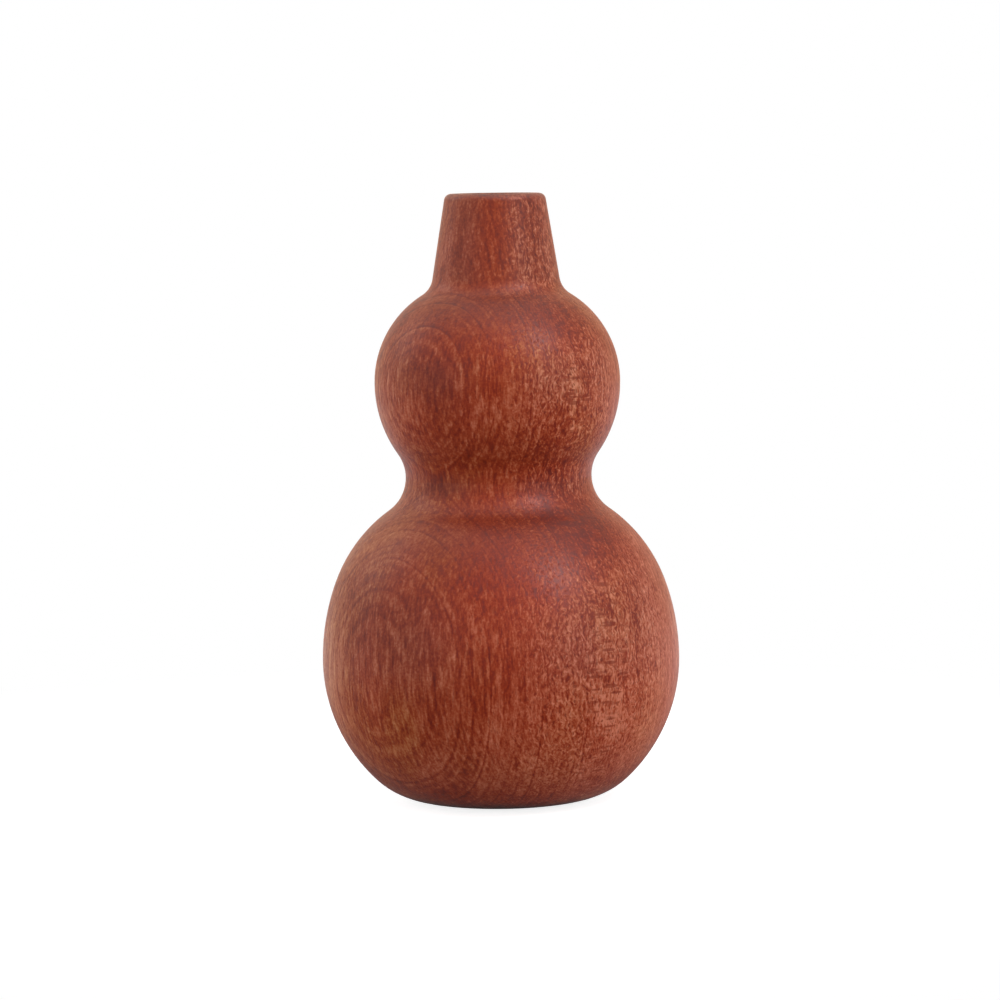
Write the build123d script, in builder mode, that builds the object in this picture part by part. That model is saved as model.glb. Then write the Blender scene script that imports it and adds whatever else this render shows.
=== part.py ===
from build123d import *
import os
from math import acos, asin, atan2, cos, degrees, radians, sin, sqrt

# Gourd vase turned in wood: two hollow bulbs glued at the waist, a lift-out glass tube and a felt pad.
# Sizes are in millimetres. Z = 0 is the table top, and the Z axis is the axis of turning.

# Lower bulb: each round is the radius of one arc of the profile
belly_radius = 50.0
belly_height = 40.0
belly_round = 62.8
belly_round_turn = 20.3
shoulder_round = 42.5
foot_inset = 29.5
foot_round = 21.9

# Waist
waist_radius = 26.0
waist_round = 11.5

# Upper bulb and neck; the taper is the neck's slope from upright, in degrees
bulb_radius = 34.3
bulb_low_round = 34.6
bulb_high_round = 28.7
neck_rise = 52.5
neck_taper = 9.2
neck_foot_round = 6.3
rim_wall = 4.1
lip_round = 2.0
mouth_round = 0.8

# Inside of the wood
wall = 9.0
floor_thickness = 17.2
floor_corner_round = 6.0
seat_depth = 6.0
spigot_length = 8.0
spigot_chamfer = 0.6
glue_gap = 0.1

# Glass tube that hangs by its bead in the neck
tube_radius = 8.0
glass_wall = 1.2
bead_proud = 1.4
bead_height = 2.4
bead_round = 0.9
tube_mouth_round = 0.5
bead_recess = 0.8
bead_rest_gap = 0.1
tube_clearance = 0.4
tube_foot_gap = 0.5

# Felt pad let into the foot
pad_proud = 0.5
pad_sunk = 1.0
pad_margin = 3.0
pad_gap = 0.2


def polar(centre, radius, angle):
    """Point of the profile at a radius and an angle from the outward direction."""
    return Vector(centre.X + radius * cos(radians(angle)), centre.Y + radius * sin(radians(angle)))


def bearing(start, end):
    """Angle from the outward direction of the line between two points of the profile."""
    return degrees(atan2(end.Y - start.Y, end.X - start.X))


def upright_leg(slant, across):
    """Height of a right triangle with the given slant side and width."""
    return sqrt(slant**2 - across**2)


def profile_arc(centre, radius, start_angle, end_angle):
    return CenterArc(centre, radius, start_angle, end_angle - start_angle)


# Fits that follow the tube
bore_radius = tube_radius + tube_clearance
bead_radius = tube_radius + bead_proud
counterbore_radius = bead_radius + tube_clearance
rim_radius = counterbore_radius + rim_wall

# Foot round: tangent to the foot's plane and to the belly's lower round, which is found from it
foot_z = pad_proud
foot_radius = belly_radius - foot_inset
foot_centre = Vector(foot_radius, foot_z + foot_round)
belly_drop = belly_height - foot_centre.Y
belly_low_round = (foot_inset**2 + belly_drop**2 - foot_round**2) / (2 * (foot_inset - foot_round))

# Belly: a lower and an upper round meet at its widest place, and the shoulder's round carries on
belly_low_centre = Vector(belly_radius - belly_low_round, belly_height)
belly_centre = Vector(belly_radius - belly_round, belly_height)
shoulder_centre = polar(belly_centre, belly_round - shoulder_round, belly_round_turn)
foot_angle = bearing(belly_low_centre, foot_centre)

# Waist: one hollow round, tangent to the shoulder below it and to the upper bulb above it
waist_x = waist_radius + waist_round
waist_z = shoulder_centre.Y + upright_leg(shoulder_round + waist_round, waist_x - shoulder_centre.X)
waist_centre = Vector(waist_x, waist_z)
bulb_low_x = bulb_radius - bulb_low_round
bulb_z = waist_z + upright_leg(bulb_low_round + waist_round, waist_x - bulb_low_x)
bulb_low_centre = Vector(bulb_low_x, bulb_z)
bulb_centre = Vector(bulb_radius - bulb_high_round, bulb_z)
shoulder_angle = bearing(shoulder_centre, waist_centre)
bulb_low_angle = bearing(bulb_low_centre, waist_centre)

# Neck: a straight taper whose foot is a hollow round, tangent to it and to the upper bulb
rim_z = bulb_z + neck_rise
rim_corner = Vector(rim_radius, rim_z)
neck_normal = polar(Vector(0, 0), 1, neck_taper)
neck_line_distance = neck_normal.dot(rim_corner - bulb_centre) + neck_foot_round
neck_line_reach = upright_leg(bulb_high_round + neck_foot_round, neck_line_distance)
neck_line_foot = polar(bulb_centre, neck_line_distance, neck_taper)
neck_foot_centre = polar(neck_line_foot, neck_line_reach, neck_taper + 90)
neck_foot_angle = bearing(bulb_centre, neck_foot_centre)

# Hollow: it follows the outside one wall further in, down to a flat floor and up to the bore
seat_z = foot_z + pad_sunk + floor_thickness
floor_z = seat_z + seat_depth
floor_angle = degrees(asin((floor_z - belly_height) / (belly_low_round - wall)))
crown_angle = degrees(acos((bore_radius - bulb_centre.X) / (bulb_high_round - wall)))
crown_z = polar(bulb_centre, bulb_high_round - wall, crown_angle).Y
throat_radius = waist_radius - wall
spigot_radius = waist_radius - wall / 2

# Glass tube
bead_top_z = rim_z - bead_recess
bead_foot_z = bead_top_z - bead_height
ledge_depth = rim_z - bead_foot_z + bead_rest_gap
tube_tip_z = seat_z + tube_foot_gap

# Felt pad
pad_radius = foot_radius - pad_margin

os.makedirs("parts", exist_ok=True)

# Lower bulb, cut by the pad's recess, the hollow, the tube's seat and the spigot's socket
with BuildPart() as lower_bulb:
    with BuildSketch(Plane.XZ):
        with BuildLine():
            foot_arc = profile_arc(foot_centre, foot_round, -90, foot_angle)
            profile_arc(belly_low_centre, belly_low_round, foot_angle, 0)
            profile_arc(belly_centre, belly_round, 0, belly_round_turn)
            profile_arc(shoulder_centre, shoulder_round, belly_round_turn, shoulder_angle)
            waist_arc = profile_arc(waist_centre, waist_round, shoulder_angle + 180, 180)
            Polyline(waist_arc @ 1, (0, waist_z), (0, foot_z), foot_arc @ 0)
        make_face()
    revolve(axis=Axis.Z)
    with BuildSketch(Plane.XZ) as lower_hollow:
        with BuildLine():
            floor_arc = profile_arc(belly_low_centre, belly_low_round - wall, floor_angle, 0)
            profile_arc(belly_centre, belly_round - wall, 0, belly_round_turn)
            profile_arc(shoulder_centre, shoulder_round - wall, belly_round_turn, shoulder_angle)
            throat_arc = profile_arc(waist_centre, waist_round + wall, shoulder_angle + 180, 180)
            Polyline(throat_arc @ 1, (0, waist_z), (0, floor_z), floor_arc @ 0)
        make_face()
        fillet(lower_hollow.vertices().group_by(Axis.Y)[0].sort_by(Axis.X)[-1], floor_corner_round)
    revolve(axis=Axis.Z, mode=Mode.SUBTRACT)
    with Locations((0, 0, floor_z)):
        Hole(bore_radius, seat_depth)
    with Locations((0, 0, waist_z)):
        Hole(spigot_radius + glue_gap, spigot_length + glue_gap)
    with BuildSketch(Plane.XY.offset(foot_z)):
        Circle(pad_radius + pad_gap)
    extrude(amount=pad_sunk, mode=Mode.SUBTRACT)
lower_bulb.part.label = "lower_bulb"
export_step(lower_bulb.part, "parts/lower_bulb.step")

# Upper bulb with its neck, its spigot and the counterbored bore that the tube hangs in
with BuildPart() as upper_bulb:
    with BuildSketch(Plane.XZ):
        with BuildLine():
            waist_arc = profile_arc(waist_centre, waist_round, 180, bulb_low_angle + 180)
            profile_arc(bulb_low_centre, bulb_low_round, bulb_low_angle, 0)
            profile_arc(bulb_centre, bulb_high_round, 0, neck_foot_angle)
            neck_arc = profile_arc(
                neck_foot_centre, neck_foot_round, neck_foot_angle + 180, neck_taper + 180
            )
            Polyline(neck_arc @ 1, rim_corner, (0, rim_z), (0, waist_z), waist_arc @ 0)
        make_face()
    revolve(axis=Axis.Z)
    with BuildSketch(Plane.XY.offset(waist_z)):
        Circle(spigot_radius)
    extrude(amount=-spigot_length)
    chamfer(upper_bulb.edges().group_by(Axis.Z)[0], spigot_chamfer)
    with BuildSketch(Plane.XZ):
        with BuildLine():
            throat_arc = profile_arc(waist_centre, waist_round + wall, 180, bulb_low_angle + 180)
            profile_arc(bulb_low_centre, bulb_low_round - wall, bulb_low_angle, 0)
            crown_arc = profile_arc(bulb_centre, bulb_high_round - wall, 0, crown_angle)
            Polyline(crown_arc @ 1, (0, crown_z), (0, waist_z), throat_arc @ 0)
        make_face()
    revolve(axis=Axis.Z, mode=Mode.SUBTRACT)
    with Locations((0, 0, waist_z)):
        Hole(throat_radius, spigot_length)
    with Locations((0, 0, rim_z)):
        CounterBoreHole(bore_radius, counterbore_radius, ledge_depth, rim_z - crown_z)
    rim_edges = upper_bulb.edges().group_by(Axis.Z)[-1].sort_by(SortBy.RADIUS)
    fillet(rim_edges[-1], lip_round)
    fillet(rim_edges[0], mouth_round)
upper_bulb.part.label = "upper_bulb"
export_step(upper_bulb.part, "parts/upper_bulb.step")

# Glass tube with a round tip and a bead round its mouth
with BuildPart() as glass_tube:
    with BuildSketch(Plane.XZ):
        tip_centre = Vector(0, tube_tip_z + tube_radius)
        with BuildLine():
            outer_tip = profile_arc(tip_centre, tube_radius, -90, 0)
            inner_tip = profile_arc(tip_centre, tube_radius - glass_wall, -90, 0)
            Polyline(
                outer_tip @ 1,
                (tube_radius, bead_foot_z),
                (bead_radius, bead_foot_z),
                (bead_radius, bead_top_z),
                (tube_radius - glass_wall, bead_top_z),
                inner_tip @ 1,
            )
            Line(inner_tip @ 0, outer_tip @ 0)
        make_face()
    revolve(axis=Axis.Z)
    bead_edges = glass_tube.edges().filter_by(GeomType.CIRCLE)
    fillet(bead_edges.sort_by(SortBy.RADIUS)[-2:], bead_round)
    fillet(glass_tube.edges().group_by(Axis.Z)[-1].sort_by(SortBy.RADIUS)[0], tube_mouth_round)
glass_tube.part.label = "glass_tube"
export_step(glass_tube.part, "parts/glass_tube.step")

# Felt pad, half sunk in the foot
with BuildPart() as base_pad:
    with BuildSketch():
        Circle(pad_radius)
    extrude(amount=pad_proud + pad_sunk)
base_pad.part.label = "base_pad"
export_step(base_pad.part, "parts/base_pad.step")
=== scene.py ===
from math import cos, pi, radians, sin
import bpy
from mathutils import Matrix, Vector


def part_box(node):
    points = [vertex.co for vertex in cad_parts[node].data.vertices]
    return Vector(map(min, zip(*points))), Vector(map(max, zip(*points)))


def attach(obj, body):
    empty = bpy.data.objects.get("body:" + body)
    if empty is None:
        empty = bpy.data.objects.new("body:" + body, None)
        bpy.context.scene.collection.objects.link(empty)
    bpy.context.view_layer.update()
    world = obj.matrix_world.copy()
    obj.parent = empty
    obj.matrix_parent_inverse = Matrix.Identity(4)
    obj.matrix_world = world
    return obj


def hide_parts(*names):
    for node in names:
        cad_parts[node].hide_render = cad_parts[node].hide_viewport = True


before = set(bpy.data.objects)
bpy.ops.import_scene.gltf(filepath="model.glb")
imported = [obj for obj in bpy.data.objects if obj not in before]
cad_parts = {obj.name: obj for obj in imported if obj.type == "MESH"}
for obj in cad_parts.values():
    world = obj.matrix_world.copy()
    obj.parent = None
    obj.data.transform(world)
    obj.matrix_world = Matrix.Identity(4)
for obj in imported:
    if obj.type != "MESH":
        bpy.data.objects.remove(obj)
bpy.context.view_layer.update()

from types import SimpleNamespace

import bpy
from mathutils import Matrix, Vector, noise

# Gourd vase in satin red-brown wood, with a lift-out glass tube and a felt pad under its foot.
# Lengths are in metres in the part's own frame: +Z is the axis of turning and -Y faces the camera.
# Materials are set out in millimetres in the same frame.

MM = 0.001
RIM_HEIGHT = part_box("upper_bulb")[1].z
UP = (0.0, 0.0, 1.0)
LEVEL = (1.0, 1.0, 0.0)
WHITE = (1.0, 1.0, 1.0)

# Camera, worked out from the outline in the photograph, whose frame is square
PHOTO_SIDE = 1000
PHOTO_CENTRE = (498.9, 497.6)
PHOTO_PIXELS_PER_METRE = 3573.0
CAMERA_DISTANCE = 1.183
CAMERA_HEIGHT = 0.1877
CAMERA_ROLL = 0.0134
CAMERA_CLIP_END = 20.0
SENSOR_WIDTH = 36.0

# Light: azimuth and rise are in degrees, and azimuth 0 is the camera's side, with positive to its right.
# Lamps: name, azimuth, rise, width and power
LAMP_DISTANCE = 1.3
LAMPS = (("key", 51, 43, 0.22, 2.5), ("left", -110, 32, 0.8, 2.4), ("top", 0, 72, 0.7, 0.6))
# Soft panels that light the vase, and those that show in its gloss: azimuth, rise, focus and strength
ROOM_PANELS = ((-120, 0, 12.0, 6.3), (-60, 0, 12.0, 5.3), (55, 0, 12.0, 6.4), (120, 0, 12.0, 6.5))
GLOSS_PANELS = ((0, 60, 2.0, 3.5), (50, 43, 15.0, 8.0), (-140, 10, 4.0, 0.3))
ROOM_GLOSS = 0.75
ROOM_TINT = (1.0, 0.88, 0.68)

# Floor: its gloss and its fade to white go by the distance from the vase's axis
FLOOR_RADIUS = 1.5
FLOOR_SEGMENTS = 64
FLOOR_COLOUR = (0.7, 0.7, 0.7)
FLOOR_GLOW = 0.81
FLOOR_GLOSS = (0.04, 0.35, 0.06, 0.55)
FLOOR_FADE = (0.1, 0.3)

# Felt pad
FELT_SEGMENTS = 192
FELT_EDGE_ROUND = 0.45 * MM
FELT_EDGE_STEPS = 5
FELT_RINGS = 30
FELT_LEAST_STEP = 0.1 * MM
FELT_FUZZ = 0.06 * MM
FELT_FUZZ_SIZE = 0.5 * MM

# A noise is given by its waves per millimetre on each axis, its detail and its roughness.
# It runs from 0 to 1 about its mean, and so do the tones of a ring.
# A span is given by two values of what it follows, and by what it comes to at each, 0 and 1 if not said.
MEAN = 0.5

# Felt: tufts of wool under single hairs
TUFT_NOISE = ((1.4, 1.4, 2.0), 3.0, 0.6)
HAIR_WARP_NOISE = ((0.8, 0.8, 0.8), 2.0, 0.5)
HAIR_WARP = 3.0
HAIRS_PER_MM = 3.0
HAIR_SPAN = (0.0, 0.12, 1.0, 0.0)
HAIR_WEIGHT = 0.35
TUFT_WEIGHT = 0.65
FELT_COLOURS = ((0.1, (0.012, 0.011, 0.0105)), (0.5, (0.036, 0.032, 0.03)), (0.85, (0.085, 0.077, 0.07)))
FELT_RELIEF = (0.8, 0.2 * MM)
FELT_ROUGHNESS = 0.95
FELT_SHEEN = 0.35
FELT_SHEEN_ROUGHNESS = 0.6

# Glass: faint streaks from drawing the tube, and smears
GLASS_COLOUR = (0.93, 0.975, 0.965, 1.0)
GLASS_IOR = 1.5
GLASS_STREAK_NOISE = ((0.22, 0.22, 0.012), 1.0, 0.5)
GLASS_RELIEF = (0.25, 0.05 * MM)
GLASS_SMEAR_NOISE = ((0.09, 0.09, 0.045), 3.0, 0.5)
GLASS_SMEARS = (0.45, 0.8, 0.0, 0.06)

# Wood: the pith of the tree lies off to the front left of the vase, and the rings lean near the foot
PITH_BEARING = radians(43)
PITH_DISTANCE = 260.0
TOWARDS_PITH = (-sin(PITH_BEARING), -cos(PITH_BEARING), 0.0)
ALONG_RINGS = (cos(PITH_BEARING), -sin(PITH_BEARING), 0.0)
FOOT_LEAN_HEIGHT = 43.0
FOOT_LEAN = 0.0034

# Shifts of place that bend the grain: waves per millimetre, and reach in millimetres, on each axis
DRIFT = ((0.022, 0.022, 0.009), (5.0, 5.0, 0.0))
WEAVE = ((0.06, 0.05, 0.03), (4.0, 4.5, 0.0))
CRINKLE = ((0.4, 0.4, 0.35), (2.2, 2.2, 0.0))
CRINKLE_FACING = (0.3, 0.8, 1.0, 0.2)

# How the surface cuts the log: faces along the rings count as flat sawn, less so up the neck
FLAT_SAWN_FACING = (0.35, 0.7)
FLAT_SAWN_NECK = (136.0, 150.0, 1.0, 0.35)
LIVELY_FACING = (0.0, 1.0, 1.25, 0.62)
LIVELY_END_GRAIN = (0.2, 0.8, 1.0, 0.55)

# Growth rings of two widths: tones through one year, and where each of the two shows
RING_WIDTH = 6.0
RING_TONES = (
    (0.0, 0.5), (0.03, 0.64), (0.08, 0.6), (0.14, 0.52), (0.6, 0.5),
    (0.88, 0.47), (0.93, 0.42), (0.96, 0.24), (0.98, 0.24), (1.0, 0.5),
)
SECOND_RING_START = 27.0
SECOND_RING_WIDTH = 6.3
SECOND_RING_TONES = (
    (0.0, 0.5), (0.05, 0.58), (0.14, 0.5), (0.88, 0.48), (0.95, 0.28), (0.98, 0.28), (1.0, 0.5),
)
RING_PATCH_NOISE = ((0.09, 0.03, 0.02), 1.0, 0.5)
RING_PATCHES = (0.3, 0.6, 0.35, 1.0)
SECOND_RING_PATCHES = (0.45, 0.65, 0.9, 0.1)
RING_FACING = (0.88, 1.0, 1.0, 0.3)

# Fine grain
BAND_NOISE = ((1.15, 0.03, 0.02), 2.0, 0.6)
LONG_FIBRE_NOISE = ((0.98, 0.98, 0.19), 2.0, 0.55)
SHORT_FIBRE_NOISE = ((1.45, 1.45, 0.42), 2.0, 0.55)
STREAK_NOISE = ((0.45, 0.45, 0.03), 1.0, 0.5)
MOTTLE_NOISE = ((0.06, 0.05, 0.025), 2.0, 0.5)
PEBBLE_NOISE = ((1.5, 1.5, 1.5), 1.0, 0.5)
# Glints are pale flecks in the colour: partly pale fibres, partly painted glint of the fibres
GLINT_NOISE = ((1.75, 1.75, 1.2), 0.0, 0.5)
GLINT_SPAN = (0.6, 0.75)

# Flecks, one to a cell: cells per millimetre on each axis, core and edge in a cell, and strength by chance
LONG_PORES = ((0.88, 0.88, 0.22), (0.2, 0.34), (0.0, 0.8, 0.2, 0.9))
SHORT_PORES = ((1.35, 1.35, 0.46), (0.2, 0.36), (0.0, 0.8, 0.2, 0.85))
SMALL_PORES = ((1.35, 1.35, 0.55), (0.22, 0.36), (0.0, 1.0, 0.1, 0.9))
RUNGS = ((0.16, 1.4, 1.0), (0.3, 0.54), (0.0, 0.5))

# Rays: dark rungs in pale patches, on faces that lie along the rays
RAY_PATCH_NOISE = ((0.2, 0.5, 0.05), 1.0, 0.5)
RAY_PATCHES = (0.42, 0.58)
RAY_FACING = (0.04, 0.18, 1.0, 0.0)
RUNG_PATCH_STRENGTH = 0.8
RUNG_FACING = (0.1, 0.25, 0.2, 0.03)
# Spots are at their full strength in the core and fade out at their reach
SPOT_CORE = 3.0
# Spots on the radial face where the rays show most: middle and reach
RAY_SPOTS = (((22.7, -25.7, 116.5), 7.0), ((30.2, -39.8, 38.0), 10.0))

# Weights of the layers in the tone; glints have one for faces across the rings and one for faces along them
BASE_TONE = 0.53
RING_WEIGHT = 0.75
BAND_WEIGHT = 0.6
FIBRE_WEIGHT = 1.9
GLINT_WEIGHTS = (0.3, 0.14)
STREAK_WEIGHT = 0.5
PEBBLE_WEIGHT = 0.55
MOTTLE_WEIGHT = 0.35
RAY_PATCH_WEIGHT = 0.22
RAY_SPOT_WEIGHT = 0.1

# Tone by place: round the rings the right side is paler, painted light; a band over the waist, under the
# upper bulb, and the wood towards the foot are darker, painted shade; and the wood darkens up the vase
RIGHT_SIDE_LIGHT_TONE = (12.0, 50.0, -0.05, 0.16)
WAIST_SHADE_HEIGHT = 96.0
WAIST_SHADE_TONE = (0.0, 16.0, -0.08, 0.0)
FOOT_SHADE_TONE = (3.0, 14.0, -0.12, 0.0)
NECK_TONE = (128.0, 150.0, 0.0, -0.05)
# Spots of painted shade and painted light, among darker and paler wood, set as spots too: middle, reach and
# change of tone
# The painted shade is the upper bulb's shadow on the lower shoulder, shade under the upper bulb and round the
# foot, and darker tone where the shoulders are lit; the painted light makes the sides paler
SHADE_LIGHT_AND_FIGURE_SPOTS = (
    ((22.0, -25.0, 77.0), 20.0, -0.48),
    ((20.0, -18.0, 137.0), 14.0, -0.26),
    ((18.0, -38.0, 64.0), 16.0, -0.3),
    ((-4.0, -36.0, 74.0), 22.0, -0.1),
    ((12.0, -36.0, 73.0), 26.0, -0.1),
    ((-12.0, -23.0, 138.0), 18.0, -0.08),
    ((10.0, -25.0, 136.0), 18.0, -0.21),
    ((0.0, -45.0, 63.0), 15.0, -0.08),
    ((31.0, -31.0, 58.0), 13.0, -0.14),
    ((-6.0, -48.0, 48.0), 30.0, -0.05),
    ((-21.0, -26.0, 119.0), 11.0, -0.08),
    ((24.0, -24.0, 116.0), 12.0, -0.08),
    ((19.0, -23.0, 103.0), 14.0, -0.06),
    ((-46.0, -14.0, 40.0), 26.0, 0.26),
    ((46.0, -11.0, 46.0), 28.0, 0.2),
    ((-31.0, -13.0, 113.0), 17.0, 0.15),
    ((-34.0, -19.0, 72.0), 16.0, 0.08),
    ((34.0, -14.0, 72.0), 14.0, 0.08),
    ((9.0, -33.0, 117.0), 10.0, 0.1),
    ((-7.0, -26.0, 92.0), 11.0, 0.12),
    ((0.0, -31.0, 104.0), 11.0, 0.08),
    ((40.0, -23.0, 22.0), 22.0, 0.19),
    ((8.0, -42.0, 20.0), 26.0, 0.08),
    ((-21.0, -36.0, 18.0), 16.0, 0.14),
    ((31.0, -13.0, 118.0), 14.0, 0.1),
    ((23.0, -14.0, 138.0), 11.0, 0.08),
    ((-36.0, -10.0, 8.0), 14.0, -0.16),
    ((36.0, -10.0, 8.0), 14.0, -0.12),
    ((-26.0, -14.0, 105.0), 11.0, 0.1),
    ((-26.0, -6.0, 138.0), 10.0, -0.22),
    ((30.6, -38.5, 31.5), 6.5, 0.3),
    ((30.8, -36.3, 26.0), 6.5, 0.3),
    ((16.0, -27.0, 130.0), 10.0, -0.07),
    ((0.0, -50.0, 42.0), 16.0, -0.08),
    ((9.0, -26.0, 84.0), 12.0, -0.1),
    ((0.0, -34.0, 121.0), 10.0, -0.07),
    ((27.0, -21.0, 121.0), 9.0, -0.06),
    ((-38.0, -18.0, 20.0), 18.0, 0.07),
    ((0.0, -33.0, 112.0), 13.0, 0.08),
    ((13.0, -13.0, 158.0), 13.0, -0.08),
)

# Colours of the wood from dark to pale, and how far along them a tone of 1 comes
FULL_TONE = 0.8
WOOD_COLOURS = (
    (0.0, (0.105, 0.005, 0.0003)),
    (0.24, (0.19, 0.0145, 0.0008)),
    (0.4, (0.26, 0.0325, 0.0055)),
    (0.56, (0.346, 0.0715, 0.028)),
    (0.8, (0.46, 0.135, 0.068)),
    (1.0, (0.55, 0.2, 0.115)),
)
# Tints: what they go by, and the colour that is multiplied or added
RIGHT_SIDE_SPAN = (15.0, 45.0)
RIGHT_SIDE_TINT = (1.03, 0.93, 0.86)
HUE_NOISE = ((0.05, 0.05, 0.03), 1.0, 0.5)
LEFT_SIDE_HUE = (-30.0, 20.0, 0.3, 0.0)
RIGHT_SIDE_HUE = (25.0, 45.0, 0.0, -0.1)
PINK_SPAN = (0.3, 0.5, 1.0, 0.0)
PINK_TINT = (1.0, 0.93, 1.0)
TAWNY_SPAN = (0.5, 0.75)
TAWNY_TINT = (0.99, 1.16, 0.9)
# Grey-pink added on end grain, which faces up on the shoulders, and up the neck: painted sheen
END_GRAIN_SHEEN_SPAN = (0.3, 0.8, 0.0, 0.65)
END_GRAIN_SHEEN_TINT = (0.0, 0.014, 0.013)
NECK_SHEEN_SPAN = (126.0, 150.0, 0.0, 0.6)
NECK_SHEEN_TINT = (0.0, 0.01, 0.007)
# A paler band round the lip: painted highlight
LIP_HIGHLIGHT_SPAN = (167.8, 169.6)
LIP_HIGHLIGHT_TINT = (0.0, 0.022, 0.024)
# Colours that cover the wood, and how far
RUNG_COVER = 0.75
RUNG_COLOUR = (0.19, 0.016, 0.001)
PORE_COVER = 0.72
PORE_COLOUR = (0.14, 0.0115, 0.0015)
# The dark edge round the foot is a painted contact shadow
FOOT_SHADE_COVER = (0.7, 4.2, 0.8, 0.0)
FOOT_SHADE_COLOUR = (0.025, 0.008, 0.008)

# Finish of the wood
FIBRE_RELIEF = 0.35
WOOD_RELIEF = (0.4, 0.12 * MM)
WOOD_ROUGHNESS = (-0.3, 0.3, 0.4, 0.34)
PORE_ROUGHNESS = 0.15
WOOD_IOR = 1.46
WOOD_SPECULAR = 0.21

# Sockets of a Mix node, by number because several share a name
MIX_FLOATS = (2, 3)
MIX_COLOURS = (6, 7)
MIX_COLOUR_OUT = 2


def add_object(name, data):
    made = bpy.data.objects.new(name, data)
    bpy.context.scene.collection.objects.link(made)
    return made


def aim(place, target):
    """World matrix of a lamp or camera at place that faces target."""
    turn = (Vector(target) - Vector(place)).to_track_quat("-Z", "Y").to_matrix().to_4x4()
    return Matrix.Translation(Vector(place)) @ turn


class Shader:
    """A node tree with short ways to add nodes. Any input takes a plain value or another node's socket."""

    def __init__(self, tree):
        self.tree = tree
        tree.nodes.clear()

    def add(self, kind, inputs=None, **settings):
        made = self.tree.nodes.new(kind)
        for name, value in settings.items():
            setattr(made, name, value)
        for key, value in (inputs or {}).items():
            if isinstance(value, bpy.types.NodeSocket):
                self.tree.links.new(value, made.inputs[key])
            else:
                made.inputs[key].default_value = value
        return made

    def math(self, operation, *values, clamp=False):
        inputs = dict(enumerate(values))
        return self.add("ShaderNodeMath", inputs, operation=operation, use_clamp=clamp).outputs[0]

    def vector(self, operation, *values):
        made = self.add("ShaderNodeVectorMath", dict(enumerate(values)), operation=operation)
        return made.outputs["Value" if operation in ("DOT_PRODUCT", "LENGTH") else "Vector"]

    def scale(self, vector, factor):
        made = self.add("ShaderNodeVectorMath", {0: vector, "Scale": factor}, operation="SCALE")
        return made.outputs["Vector"]

    def millimetres(self):
        """Place in the part's frame, in millimetres."""
        return self.scale(self.add("ShaderNodeTexCoord").outputs["Object"], 1 / MM)

    def noise(self, vector, waves, detail, roughness, output="Fac"):
        stretched = self.vector("MULTIPLY", vector, waves)
        inputs = {"Vector": stretched, "Scale": 1.0, "Detail": detail, "Roughness": roughness}
        return self.add("ShaderNodeTexNoise", inputs).outputs[output]

    def signed_noise(self, vector, waves, detail, roughness):
        """Noise about zero."""
        return self.math("SUBTRACT", self.noise(vector, waves, detail, roughness), MEAN)

    def shift(self, vector, waves, reach):
        """Smooth shift of place, half of its reach either way at most."""
        wander = self.noise(vector, waves, 1.0, 0.5, output="Color")
        return self.vector("MULTIPLY", self.vector("SUBTRACT", wander, (MEAN, MEAN, MEAN)), reach)

    def span(self, value, low, high, to_low=0.0, to_high=1.0):
        """Maps low..high to to_low..to_high with soft ends and no overshoot."""
        inputs = {"Value": value, "From Min": low, "From Max": high, "To Min": to_low, "To Max": to_high}
        return self.add("ShaderNodeMapRange", inputs, interpolation_type="SMOOTHSTEP").outputs[0]

    def flecks(self, vector, cells, size, chance_span):
        """Flecks that fade from core to edge, each as strong as its cell's random value says."""
        core, edge = size
        inputs = {"Vector": self.vector("MULTIPLY", vector, cells), "Scale": 1.0}
        made = self.add("ShaderNodeTexVoronoi", inputs, feature="F1")
        chance = self.add("ShaderNodeSeparateColor", {0: made.outputs["Color"]}).outputs[0]
        shape = self.span(made.outputs["Distance"], core, edge, 1.0, 0.0)
        return self.math("MULTIPLY", shape, self.span(chance, *chance_span))

    def spot(self, vector, middle, reach, strength):
        """Soft round spot that fades out at its reach."""
        apart = self.vector("LENGTH", self.vector("SUBTRACT", vector, middle))
        return self.span(apart, SPOT_CORE, reach, strength, 0.0)

    def ramp(self, value, stops):
        """Colour or grey that runs through the stops, each a place from 0 to 1 and what is there."""
        made = self.add("ShaderNodeValToRGB", {0: value})
        elements = made.color_ramp.elements
        while len(elements) < len(stops):
            elements.new(0.5)
        for element, (place, colour) in zip(elements, stops):
            element.position = place
            element.color = (*colour, 1) if isinstance(colour, tuple) else (colour, colour, colour, 1)
        return made.outputs[0]

    def between(self, factor, first, second):
        inputs = {0: factor, **dict(zip(MIX_FLOATS, (first, second)))}
        return self.add("ShaderNodeMix", inputs, data_type="FLOAT").outputs[0]

    def mix(self, factor, first, second, blend="MIX"):
        inputs = {0: factor}
        for key, colour in zip(MIX_COLOURS, (first, second)):
            inputs[key] = (*colour, 1) if isinstance(colour, tuple) else colour
        made = self.add("ShaderNodeMix", inputs, data_type="RGBA", blend_type=blend)
        return made.outputs[MIX_COLOUR_OUT]

    def tint(self, factor, colour, change, blend):
        """Colour multiplied by a change, or with it added, as far as the factor says."""
        return self.mix(factor, colour, self.mix(1.0, colour, change, blend))

    def surface(self, relief, relief_size, inputs):
        """Ends the tree in a surface whose relief has a strength and a height."""
        strength, height = relief_size
        bump = self.add("ShaderNodeBump", {"Height": relief, "Strength": strength, "Distance": height})
        surface = self.add("ShaderNodeBsdfPrincipled", {**inputs, "Normal": bump.outputs[0]})
        self.add("ShaderNodeOutputMaterial", {"Surface": surface.outputs[0]})


def new_shader(name):
    material = bpy.data.materials.new(name)
    material.use_nodes = True
    return material, Shader(material.node_tree)


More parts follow.
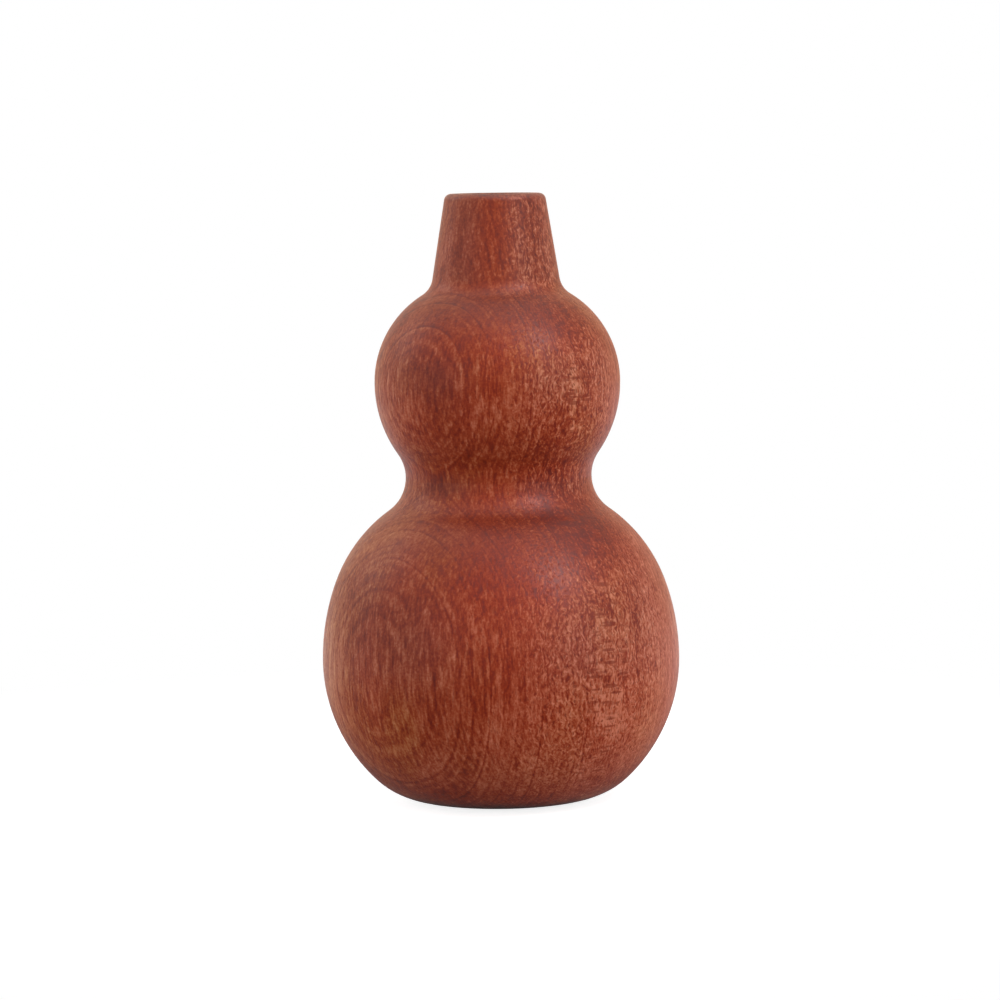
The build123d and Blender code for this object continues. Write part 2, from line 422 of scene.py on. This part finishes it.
def log_coordinates(nodes):
    """Place on the vase, the same place in the log, which is depth towards the pith, distance round the rings
    and height, each of those three alone, and the way that the rays run."""
    place = nodes.millimetres()
    place = nodes.vector("ADD", place, nodes.shift(place, *DRIFT))
    pith = tuple(PITH_DISTANCE * part for part in TOWARDS_PITH)
    from_pith = nodes.vector("MULTIPLY", nodes.vector("SUBTRACT", place, pith), LEVEL)
    height = nodes.add("ShaderNodeSeparateXYZ", {0: place}).outputs["Z"]
    below = nodes.math("MAXIMUM", nodes.math("SUBTRACT", FOOT_LEAN_HEIGHT, height), 0.0)
    lean = nodes.math("MULTIPLY", nodes.math("MULTIPLY", below, below), FOOT_LEAN)
    depth = nodes.math("ADD", nodes.math("SUBTRACT", PITH_DISTANCE, nodes.vector("LENGTH", from_pith)), lean)
    outward = nodes.vector("DOT_PRODUCT", from_pith, tuple(-part for part in TOWARDS_PITH))
    sideways = nodes.vector("DOT_PRODUCT", from_pith, ALONG_RINGS)
    around = nodes.math("MULTIPLY", nodes.math("ARCTAN2", sideways, outward), PITH_DISTANCE)
    log = nodes.add("ShaderNodeCombineXYZ", {0: depth, 1: around, 2: height}).outputs[0]
    ray = nodes.vector("NORMALIZE", from_pith)
    return SimpleNamespace(place=place, log=log, depth=depth, around=around, height=height, ray=ray)


def wood_grain(nodes):
    """Log coordinates with how the surface cuts the log there, and the place that the fibres are drawn at."""
    grain = log_coordinates(nodes)
    normal = nodes.add("ShaderNodeNewGeometry").outputs["Normal"]
    facing = nodes.math("ABSOLUTE", nodes.vector("DOT_PRODUCT", normal, grain.ray))
    end_grain = nodes.math("ABSOLUTE", nodes.vector("DOT_PRODUCT", normal, UP))
    along_rings = nodes.span(facing, *FLAT_SAWN_FACING)
    on_face = nodes.span(facing, *LIVELY_FACING)
    grain.facing, grain.end_grain = facing, end_grain
    grain.flat_sawn = nodes.math("MULTIPLY", along_rings, nodes.span(grain.height, *FLAT_SAWN_NECK))
    grain.liveliness = nodes.math("MULTIPLY", on_face, nodes.span(end_grain, *LIVELY_END_GRAIN))
    # Interlocked grain: the fibres weave to either side as they rise, and crinkle on faces across the rings
    crinkle = nodes.scale(nodes.shift(grain.log, *CRINKLE), nodes.span(facing, *CRINKLE_FACING))
    woven = nodes.vector("ADD", grain.log, nodes.shift(grain.log, *WEAVE))
    grain.fibre_place = nodes.vector("ADD", woven, crinkle)
    return grain


def ring_tone(nodes, depth, width, tones):
    """Tone about zero through rings of one width."""
    year = nodes.ramp(nodes.math("FRACT", nodes.math("DIVIDE", depth, width)), tones)
    return nodes.math("SUBTRACT", year, MEAN)


def growth_rings(nodes, grain):
    """Rings with a light line, a slow darkening and a thin dark line at the end of each year. The second set
    shows where the first is weak."""
    patchy = nodes.noise(grain.log, *RING_PATCH_NOISE)
    second_depth = nodes.math("SUBTRACT", grain.depth, SECOND_RING_START)
    first = ring_tone(nodes, grain.depth, RING_WIDTH, RING_TONES)
    second = ring_tone(nodes, second_depth, SECOND_RING_WIDTH, SECOND_RING_TONES)
    first = nodes.math("MULTIPLY", first, nodes.span(patchy, *RING_PATCHES))
    second = nodes.math("MULTIPLY", second, nodes.span(patchy, *SECOND_RING_PATCHES))
    return nodes.math("MULTIPLY", nodes.math("ADD", first, second), nodes.span(grain.facing, *RING_FACING))


def wood_fibres(nodes, grain):
    """Fibres about zero, long on faces along the rings and short on faces across them."""
    long_fibres = nodes.noise(grain.fibre_place, *LONG_FIBRE_NOISE)
    short_fibres = nodes.noise(grain.fibre_place, *SHORT_FIBRE_NOISE)
    return nodes.math("SUBTRACT", nodes.between(grain.flat_sawn, short_fibres, long_fibres), MEAN)


def wood_pores(nodes, grain):
    """Narrow vessels along the grain, cut long or short as the fibres are, and small ones everywhere."""
    long_pores = nodes.flecks(grain.fibre_place, *LONG_PORES)
    short_pores = nodes.flecks(grain.fibre_place, *SHORT_PORES)
    small_pores = nodes.flecks(grain.fibre_place, *SMALL_PORES)
    return nodes.math("MAXIMUM", nodes.between(grain.flat_sawn, short_pores, long_pores), small_pores)


def wood_rays(nodes, grain):
    """Thin sheets that run out from the pith: their pale patches, the spots where they show most, and the
    dark rungs across them."""
    patches = nodes.span(nodes.noise(grain.log, *RAY_PATCH_NOISE), *RAY_PATCHES)
    patches = nodes.math("MULTIPLY", patches, nodes.span(grain.facing, *RAY_FACING))
    spots = 0.0
    for middle, reach in RAY_SPOTS:
        spots = nodes.math("ADD", nodes.spot(grain.place, middle, reach, 1.0), spots)
    strength = nodes.span(grain.facing, *RUNG_FACING)
    strength = nodes.math("MULTIPLY_ADD", patches, RUNG_PATCH_STRENGTH, strength)
    strength = nodes.math("ADD", strength, spots)
    rungs = nodes.math("MULTIPLY", nodes.flecks(grain.log, *RUNGS), strength, clamp=True)
    return patches, spots, rungs


def wood_tone(nodes, grain, fibres, mottle, ray_patches, ray_spots):
    """All layers of the grain added up, from dark to pale, with the changes that go by place, painted light
    and painted shade among them.
    """
    # Glints: pale fibres with painted glint
    glints = nodes.span(nodes.noise(grain.fibre_place, *GLINT_NOISE), *GLINT_SPAN)
    glints = nodes.math("MULTIPLY", glints, nodes.between(grain.flat_sawn, *GLINT_WEIGHTS))
    lively = nodes.math("MULTIPLY_ADD", fibres, FIBRE_WEIGHT, glints)
    tone = nodes.math("MULTIPLY_ADD", growth_rings(nodes, grain), RING_WEIGHT, BASE_TONE)
    layers = (
        (nodes.signed_noise(grain.log, *BAND_NOISE), BAND_WEIGHT),
        (lively, grain.liveliness),
        (nodes.signed_noise(grain.fibre_place, *STREAK_NOISE), STREAK_WEIGHT),
        (nodes.signed_noise(grain.place, *PEBBLE_NOISE), PEBBLE_WEIGHT),
        (mottle, MOTTLE_WEIGHT),
        (ray_patches, RAY_PATCH_WEIGHT),
        (ray_spots, RAY_SPOT_WEIGHT),
    )
    for layer, weight in layers:
        tone = nodes.math("MULTIPLY_ADD", layer, weight, tone)
    # Painted light on the right side, and painted shade in the band under the upper bulb and towards the foot
    from_shade_band = nodes.math("ABSOLUTE", nodes.math("SUBTRACT", grain.height, WAIST_SHADE_HEIGHT))
    changes = [
        nodes.span(grain.around, *RIGHT_SIDE_LIGHT_TONE),
        nodes.span(from_shade_band, *WAIST_SHADE_TONE),
        nodes.span(grain.height, *FOOT_SHADE_TONE),
        nodes.span(grain.height, *NECK_TONE),
    ]
    # Spots of painted shade and painted light, among darker and paler wood
    changes += [nodes.spot(grain.place, *shade_light_figure_spot) for shade_light_figure_spot in SHADE_LIGHT_AND_FIGURE_SPOTS]
    for change in changes:
        tone = nodes.math("ADD", tone, change)
    return tone


def wood_colour(nodes, grain, tone, rungs, pores):
    """Colour of the tone, tinted by place and cut, with painted sheen on end grain and up the neck, under the
    rungs and pores. The lip is paler, a painted highlight, and the edge round the foot is dark, a painted
    contact shadow."""
    left, right = (nodes.span(grain.around, *side) for side in (LEFT_SIDE_HUE, RIGHT_SIDE_HUE))
    hue = nodes.math("ADD", nodes.noise(grain.log, *HUE_NOISE), nodes.math("ADD", left, right))
    tints = (
        (nodes.span(grain.around, *RIGHT_SIDE_SPAN), RIGHT_SIDE_TINT, "MULTIPLY"),
        (nodes.span(hue, *PINK_SPAN), PINK_TINT, "MULTIPLY"),
        (nodes.span(hue, *TAWNY_SPAN), TAWNY_TINT, "MULTIPLY"),
        # Painted sheen on end grain and up the neck
        (nodes.span(grain.end_grain, *END_GRAIN_SHEEN_SPAN), END_GRAIN_SHEEN_TINT, "ADD"),
        (nodes.span(grain.height, *NECK_SHEEN_SPAN), NECK_SHEEN_TINT, "ADD"),
    )
    colour = nodes.ramp(nodes.math("MULTIPLY", tone, FULL_TONE), WOOD_COLOURS)
    for factor, change, blend in tints:
        colour = nodes.tint(factor, colour, change, blend)
    colour = nodes.mix(nodes.math("MULTIPLY", rungs, RUNG_COVER), colour, RUNG_COLOUR)
    pore_cover = nodes.math("MULTIPLY", pores, nodes.math("MULTIPLY", grain.liveliness, PORE_COVER))
    colour = nodes.mix(pore_cover, colour, PORE_COLOUR)
    # Painted highlight on the lip
    colour = nodes.tint(nodes.span(grain.height, *LIP_HIGHLIGHT_SPAN), colour, LIP_HIGHLIGHT_TINT, "ADD")
    # Painted contact shadow round the foot
    return nodes.mix(nodes.span(grain.height, *FOOT_SHADE_COVER), colour, FOOT_SHADE_COLOUR)


def wood_material():
    material, nodes = new_shader("turned_wood")
    grain = wood_grain(nodes)
    fibres = wood_fibres(nodes, grain)
    pores = wood_pores(nodes, grain)
    mottle = nodes.signed_noise(grain.log, *MOTTLE_NOISE)
    ray_patches, ray_spots, rungs = wood_rays(nodes, grain)
    tone = wood_tone(nodes, grain, fibres, mottle, ray_patches, ray_spots)
    relief = nodes.math("MULTIPLY_ADD", pores, -1.0, nodes.math("MULTIPLY", fibres, FIBRE_RELIEF))
    roughness = nodes.math("MULTIPLY_ADD", pores, PORE_ROUGHNESS, nodes.span(mottle, *WOOD_ROUGHNESS))
    nodes.surface(relief, WOOD_RELIEF, {
        "Base Color": wood_colour(nodes, grain, tone, rungs, pores),
        "Roughness": roughness,
        "IOR": WOOD_IOR,
        "Specular IOR Level": WOOD_SPECULAR,
    })
    return material


def glass_material():
    material, nodes = new_shader("liner_glass")
    place = nodes.millimetres()
    smears = nodes.noise(place, *GLASS_SMEAR_NOISE)
    nodes.surface(nodes.noise(place, *GLASS_STREAK_NOISE), GLASS_RELIEF, {
        "Base Color": GLASS_COLOUR,
        "Roughness": nodes.span(smears, *GLASS_SMEARS),
        "IOR": GLASS_IOR,
        "Transmission Weight": 1.0,
    })
    return material


def felt_material():
    material, nodes = new_shader("base_felt")
    place = nodes.millimetres()
    warp = nodes.scale(nodes.noise(place, *HAIR_WARP_NOISE, output="Color"), HAIR_WARP)
    inputs = {"Vector": nodes.vector("ADD", place, warp), "Scale": HAIRS_PER_MM}
    hairs = nodes.add("ShaderNodeTexVoronoi", inputs, feature="DISTANCE_TO_EDGE").outputs["Distance"]
    tufts = nodes.math("MULTIPLY", nodes.noise(place, *TUFT_NOISE), TUFT_WEIGHT)
    tone = nodes.math("MULTIPLY_ADD", nodes.span(hairs, *HAIR_SPAN), HAIR_WEIGHT, tufts)
    nodes.surface(tone, FELT_RELIEF, {
        "Base Color": nodes.ramp(tone, FELT_COLOURS),
        "Roughness": FELT_ROUGHNESS,
        "Sheen Weight": FELT_SHEEN,
        "Sheen Roughness": FELT_SHEEN_ROUGHNESS,
    })
    return material


def felt_profile(radius, low, high):
    """Half section of the pad, from the middle of its underside round its edge to the middle of its top."""
    inner = radius - FELT_EDGE_ROUND
    flat = [radius * ring / FELT_RINGS for ring in range(FELT_RINGS)]
    flat = [out for out in flat if out < inner]
    profile = [(out, low) for out in flat]
    for centre, start in ((low + FELT_EDGE_ROUND, -90), (high - FELT_EDGE_ROUND, 0)):
        for step in range(FELT_EDGE_STEPS + 1):
            turn = radians(start + 90 * step / FELT_EDGE_STEPS)
            profile.append((inner + FELT_EDGE_ROUND * cos(turn), centre + FELT_EDGE_ROUND * sin(turn)))
    return profile + [(out, high) for out in reversed(flat) if out < inner - FELT_LEAST_STEP]


def turned_mesh(profile):
    """Points and faces of a closed form whose half section starts and ends on the axis."""
    points, faces = [], []
    for out, height in profile[1:-1]:
        for segment in range(FELT_SEGMENTS):
            turn = 2 * pi * segment / FELT_SEGMENTS
            points.append(Vector((out * cos(turn), out * sin(turn), height)))
    rows = len(profile) - 2
    for row in range(rows - 1):
        here, there = row * FELT_SEGMENTS, (row + 1) * FELT_SEGMENTS
        for segment in range(FELT_SEGMENTS):
            after = (segment + 1) % FELT_SEGMENTS
            faces.append((here + segment, here + after, there + after, there + segment))
    for row, height, order in ((0, profile[0][1], -1), (rows - 1, profile[-1][1], 1)):
        points.append(Vector((0, 0, height)))
        for segment in range(FELT_SEGMENTS):
            after = (segment + 1) % FELT_SEGMENTS
            pair = (row * FELT_SEGMENTS + segment, row * FELT_SEGMENTS + after)
            faces.append((*pair[::order], len(points) - 1))
    return points, faces


def felt_pad():
    """Disc of felt with a rounded, slightly fuzzy edge, drawn inside the box of its CAD piece."""
    low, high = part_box("base_pad")
    radius = high.x
    middle, half_height = (low.z + high.z) / 2, (high.z - low.z) / 2
    points, faces = turned_mesh(felt_profile(radius, low.z, high.z))
    for point in points:
        fuzz = FELT_FUZZ * (0.5 + 0.5 * noise.noise(point / FELT_FUZZ_SIZE))
        outward = Vector((point.x / radius, point.y / radius, (point.z - middle) / half_height))
        point -= fuzz * outward.normalized()
    mesh = bpy.data.meshes.new("felt_pad")
    mesh.from_pydata(points, [], faces)
    mesh.shade_smooth()
    pad = add_object("felt_pad", mesh)
    mesh.materials.append(felt_material())
    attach(pad, "vase")
    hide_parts("base_pad")


def add_camera():
    """Camera at the photograph's angle, with the middle of the vase's height where the photograph has it."""
    target = Vector((0, 0, RIM_HEIGHT / 2))
    place = Vector((0, -CAMERA_DISTANCE, CAMERA_HEIGHT))
    data = bpy.data.cameras.new("photo_camera")
    data.sensor_width = SENSOR_WIDTH
    data.lens = SENSOR_WIDTH * PHOTO_PIXELS_PER_METRE * (target - place).length / PHOTO_SIDE
    data.shift_x = 0.5 - PHOTO_CENTRE[0] / PHOTO_SIDE
    data.shift_y = PHOTO_CENTRE[1] / PHOTO_SIDE - 0.5
    data.clip_end = CAMERA_CLIP_END
    camera = add_object("photo_camera", data)
    camera.matrix_world = aim(place, target) @ Matrix.Rotation(-CAMERA_ROLL, 4, "Z")
    bpy.context.scene.camera = camera


def direction(azimuth, rise):
    """Way out from the vase; azimuth 0 is the camera's side and positive is to its right."""
    turn, rise = radians(azimuth), radians(rise)
    return cos(rise) * sin(turn), -cos(rise) * cos(turn), sin(rise)


def add_lamp(name, azimuth, rise, width, power):
    """Round soft lamp that faces the middle of the vase."""
    middle = Vector((0, 0, RIM_HEIGHT / 2))
    place = middle + LAMP_DISTANCE * Vector(direction(azimuth, rise))
    data = bpy.data.lights.new(name, "AREA")
    data.shape = "DISK"
    data.size = width
    data.energy = power
    add_object(name, data).matrix_world = aim(place, middle)


def panel_light(nodes, way, base, panels):
    """Strength of the light that comes from a way: an even base and soft round panels."""
    light = base
    for azimuth, rise, focus, strength in panels:
        towards = nodes.math("MAXIMUM", nodes.vector("DOT_PRODUCT", way, direction(azimuth, rise)), 0.0)
        light = nodes.math("MULTIPLY_ADD", nodes.math("POWER", towards, focus), strength, light)
    return light


def ray_kinds(nodes):
    """Whether a ray is glossy, and whether it shows what the camera sees, straight or through glass."""
    rays = nodes.add("ShaderNodeLightPath").outputs
    seen = nodes.math("MAXIMUM", rays["Is Camera Ray"], rays["Is Transmission Ray"])
    return rays["Is Glossy Ray"], seen


def add_world():
    """Soft light from level panels round the vase. The camera sees plain white instead, also through glass,
    and the gloss shows a dim warm room with panels of its own, which are white where they are bright."""
    world = bpy.data.worlds.new("studio")
    world.use_nodes = True
    nodes = Shader(world.node_tree)
    way = nodes.add("ShaderNodeTexCoord").outputs["Generated"]
    glossy, seen = ray_kinds(nodes)
    light = panel_light(nodes, way, 0.0, ROOM_PANELS)
    gloss = panel_light(nodes, way, ROOM_GLOSS, GLOSS_PANELS)
    strength = nodes.between(seen, nodes.between(glossy, light, gloss), 1.0)
    tinted = nodes.math("SUBTRACT", glossy, seen, clamp=True)
    tinted = nodes.math("MULTIPLY", tinted, nodes.span(gloss, ROOM_GLOSS, 1 + ROOM_GLOSS, 1.0, 0.0))
    inputs = {"Color": nodes.mix(tinted, WHITE, ROOM_TINT), "Strength": strength}
    room = nodes.add("ShaderNodeBackground", inputs)
    nodes.add("ShaderNodeOutputWorld", {"Surface": room.outputs[0]})
    bpy.context.scene.world = world


def floor_material():
    """Matt pale floor that takes the vase's shadow, glows for the camera and fades to white far out."""
    material, nodes = new_shader("floor")
    glossy, seen = ray_kinds(nodes)
    away = nodes.vector("LENGTH", nodes.add("ShaderNodeTexCoord").outputs["Object"])
    glow = nodes.between(seen, nodes.math("MULTIPLY", glossy, nodes.span(away, *FLOOR_GLOSS)), FLOOR_GLOW)
    glow = nodes.add("ShaderNodeEmission", {"Color": (*WHITE, 1), "Strength": glow})
    matt = nodes.add("ShaderNodeBsdfDiffuse", {"Color": (*FLOOR_COLOUR, 1)})
    near = nodes.add("ShaderNodeAddShader", {0: matt.outputs[0], 1: glow.outputs[0]})
    far = nodes.add("ShaderNodeEmission", {"Color": (*WHITE, 1), "Strength": 1.0})
    fade = nodes.math("MULTIPLY", seen, nodes.span(away, *FLOOR_FADE))
    surface = nodes.add("ShaderNodeMixShader", {0: fade, 1: near.outputs[0], 2: far.outputs[0]})
    nodes.add("ShaderNodeOutputMaterial", {"Surface": surface.outputs[0]})
    return material


def add_floor():
    """Round floor that the vase stands on."""
    turns = [2 * pi * segment / FLOOR_SEGMENTS for segment in range(FLOOR_SEGMENTS)]
    rim = [(FLOOR_RADIUS * cos(turn), FLOOR_RADIUS * sin(turn), 0) for turn in turns]
    mesh = bpy.data.meshes.new("floor")
    mesh.from_pydata(rim, [], [tuple(range(FLOOR_SEGMENTS))])
    mesh.materials.append(floor_material())
    add_object("floor", mesh)


bpy.context.scene.view_settings.view_transform = "Standard"
add_camera()
add_world()
add_floor()
for lamp in LAMPS:
    add_lamp(*lamp)

wood = wood_material()
for name in ("lower_bulb", "upper_bulb"):
    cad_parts[name].material_slots[0].material = wood
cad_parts["glass_tube"].material_slots[0].material = glass_material()
felt_pad()
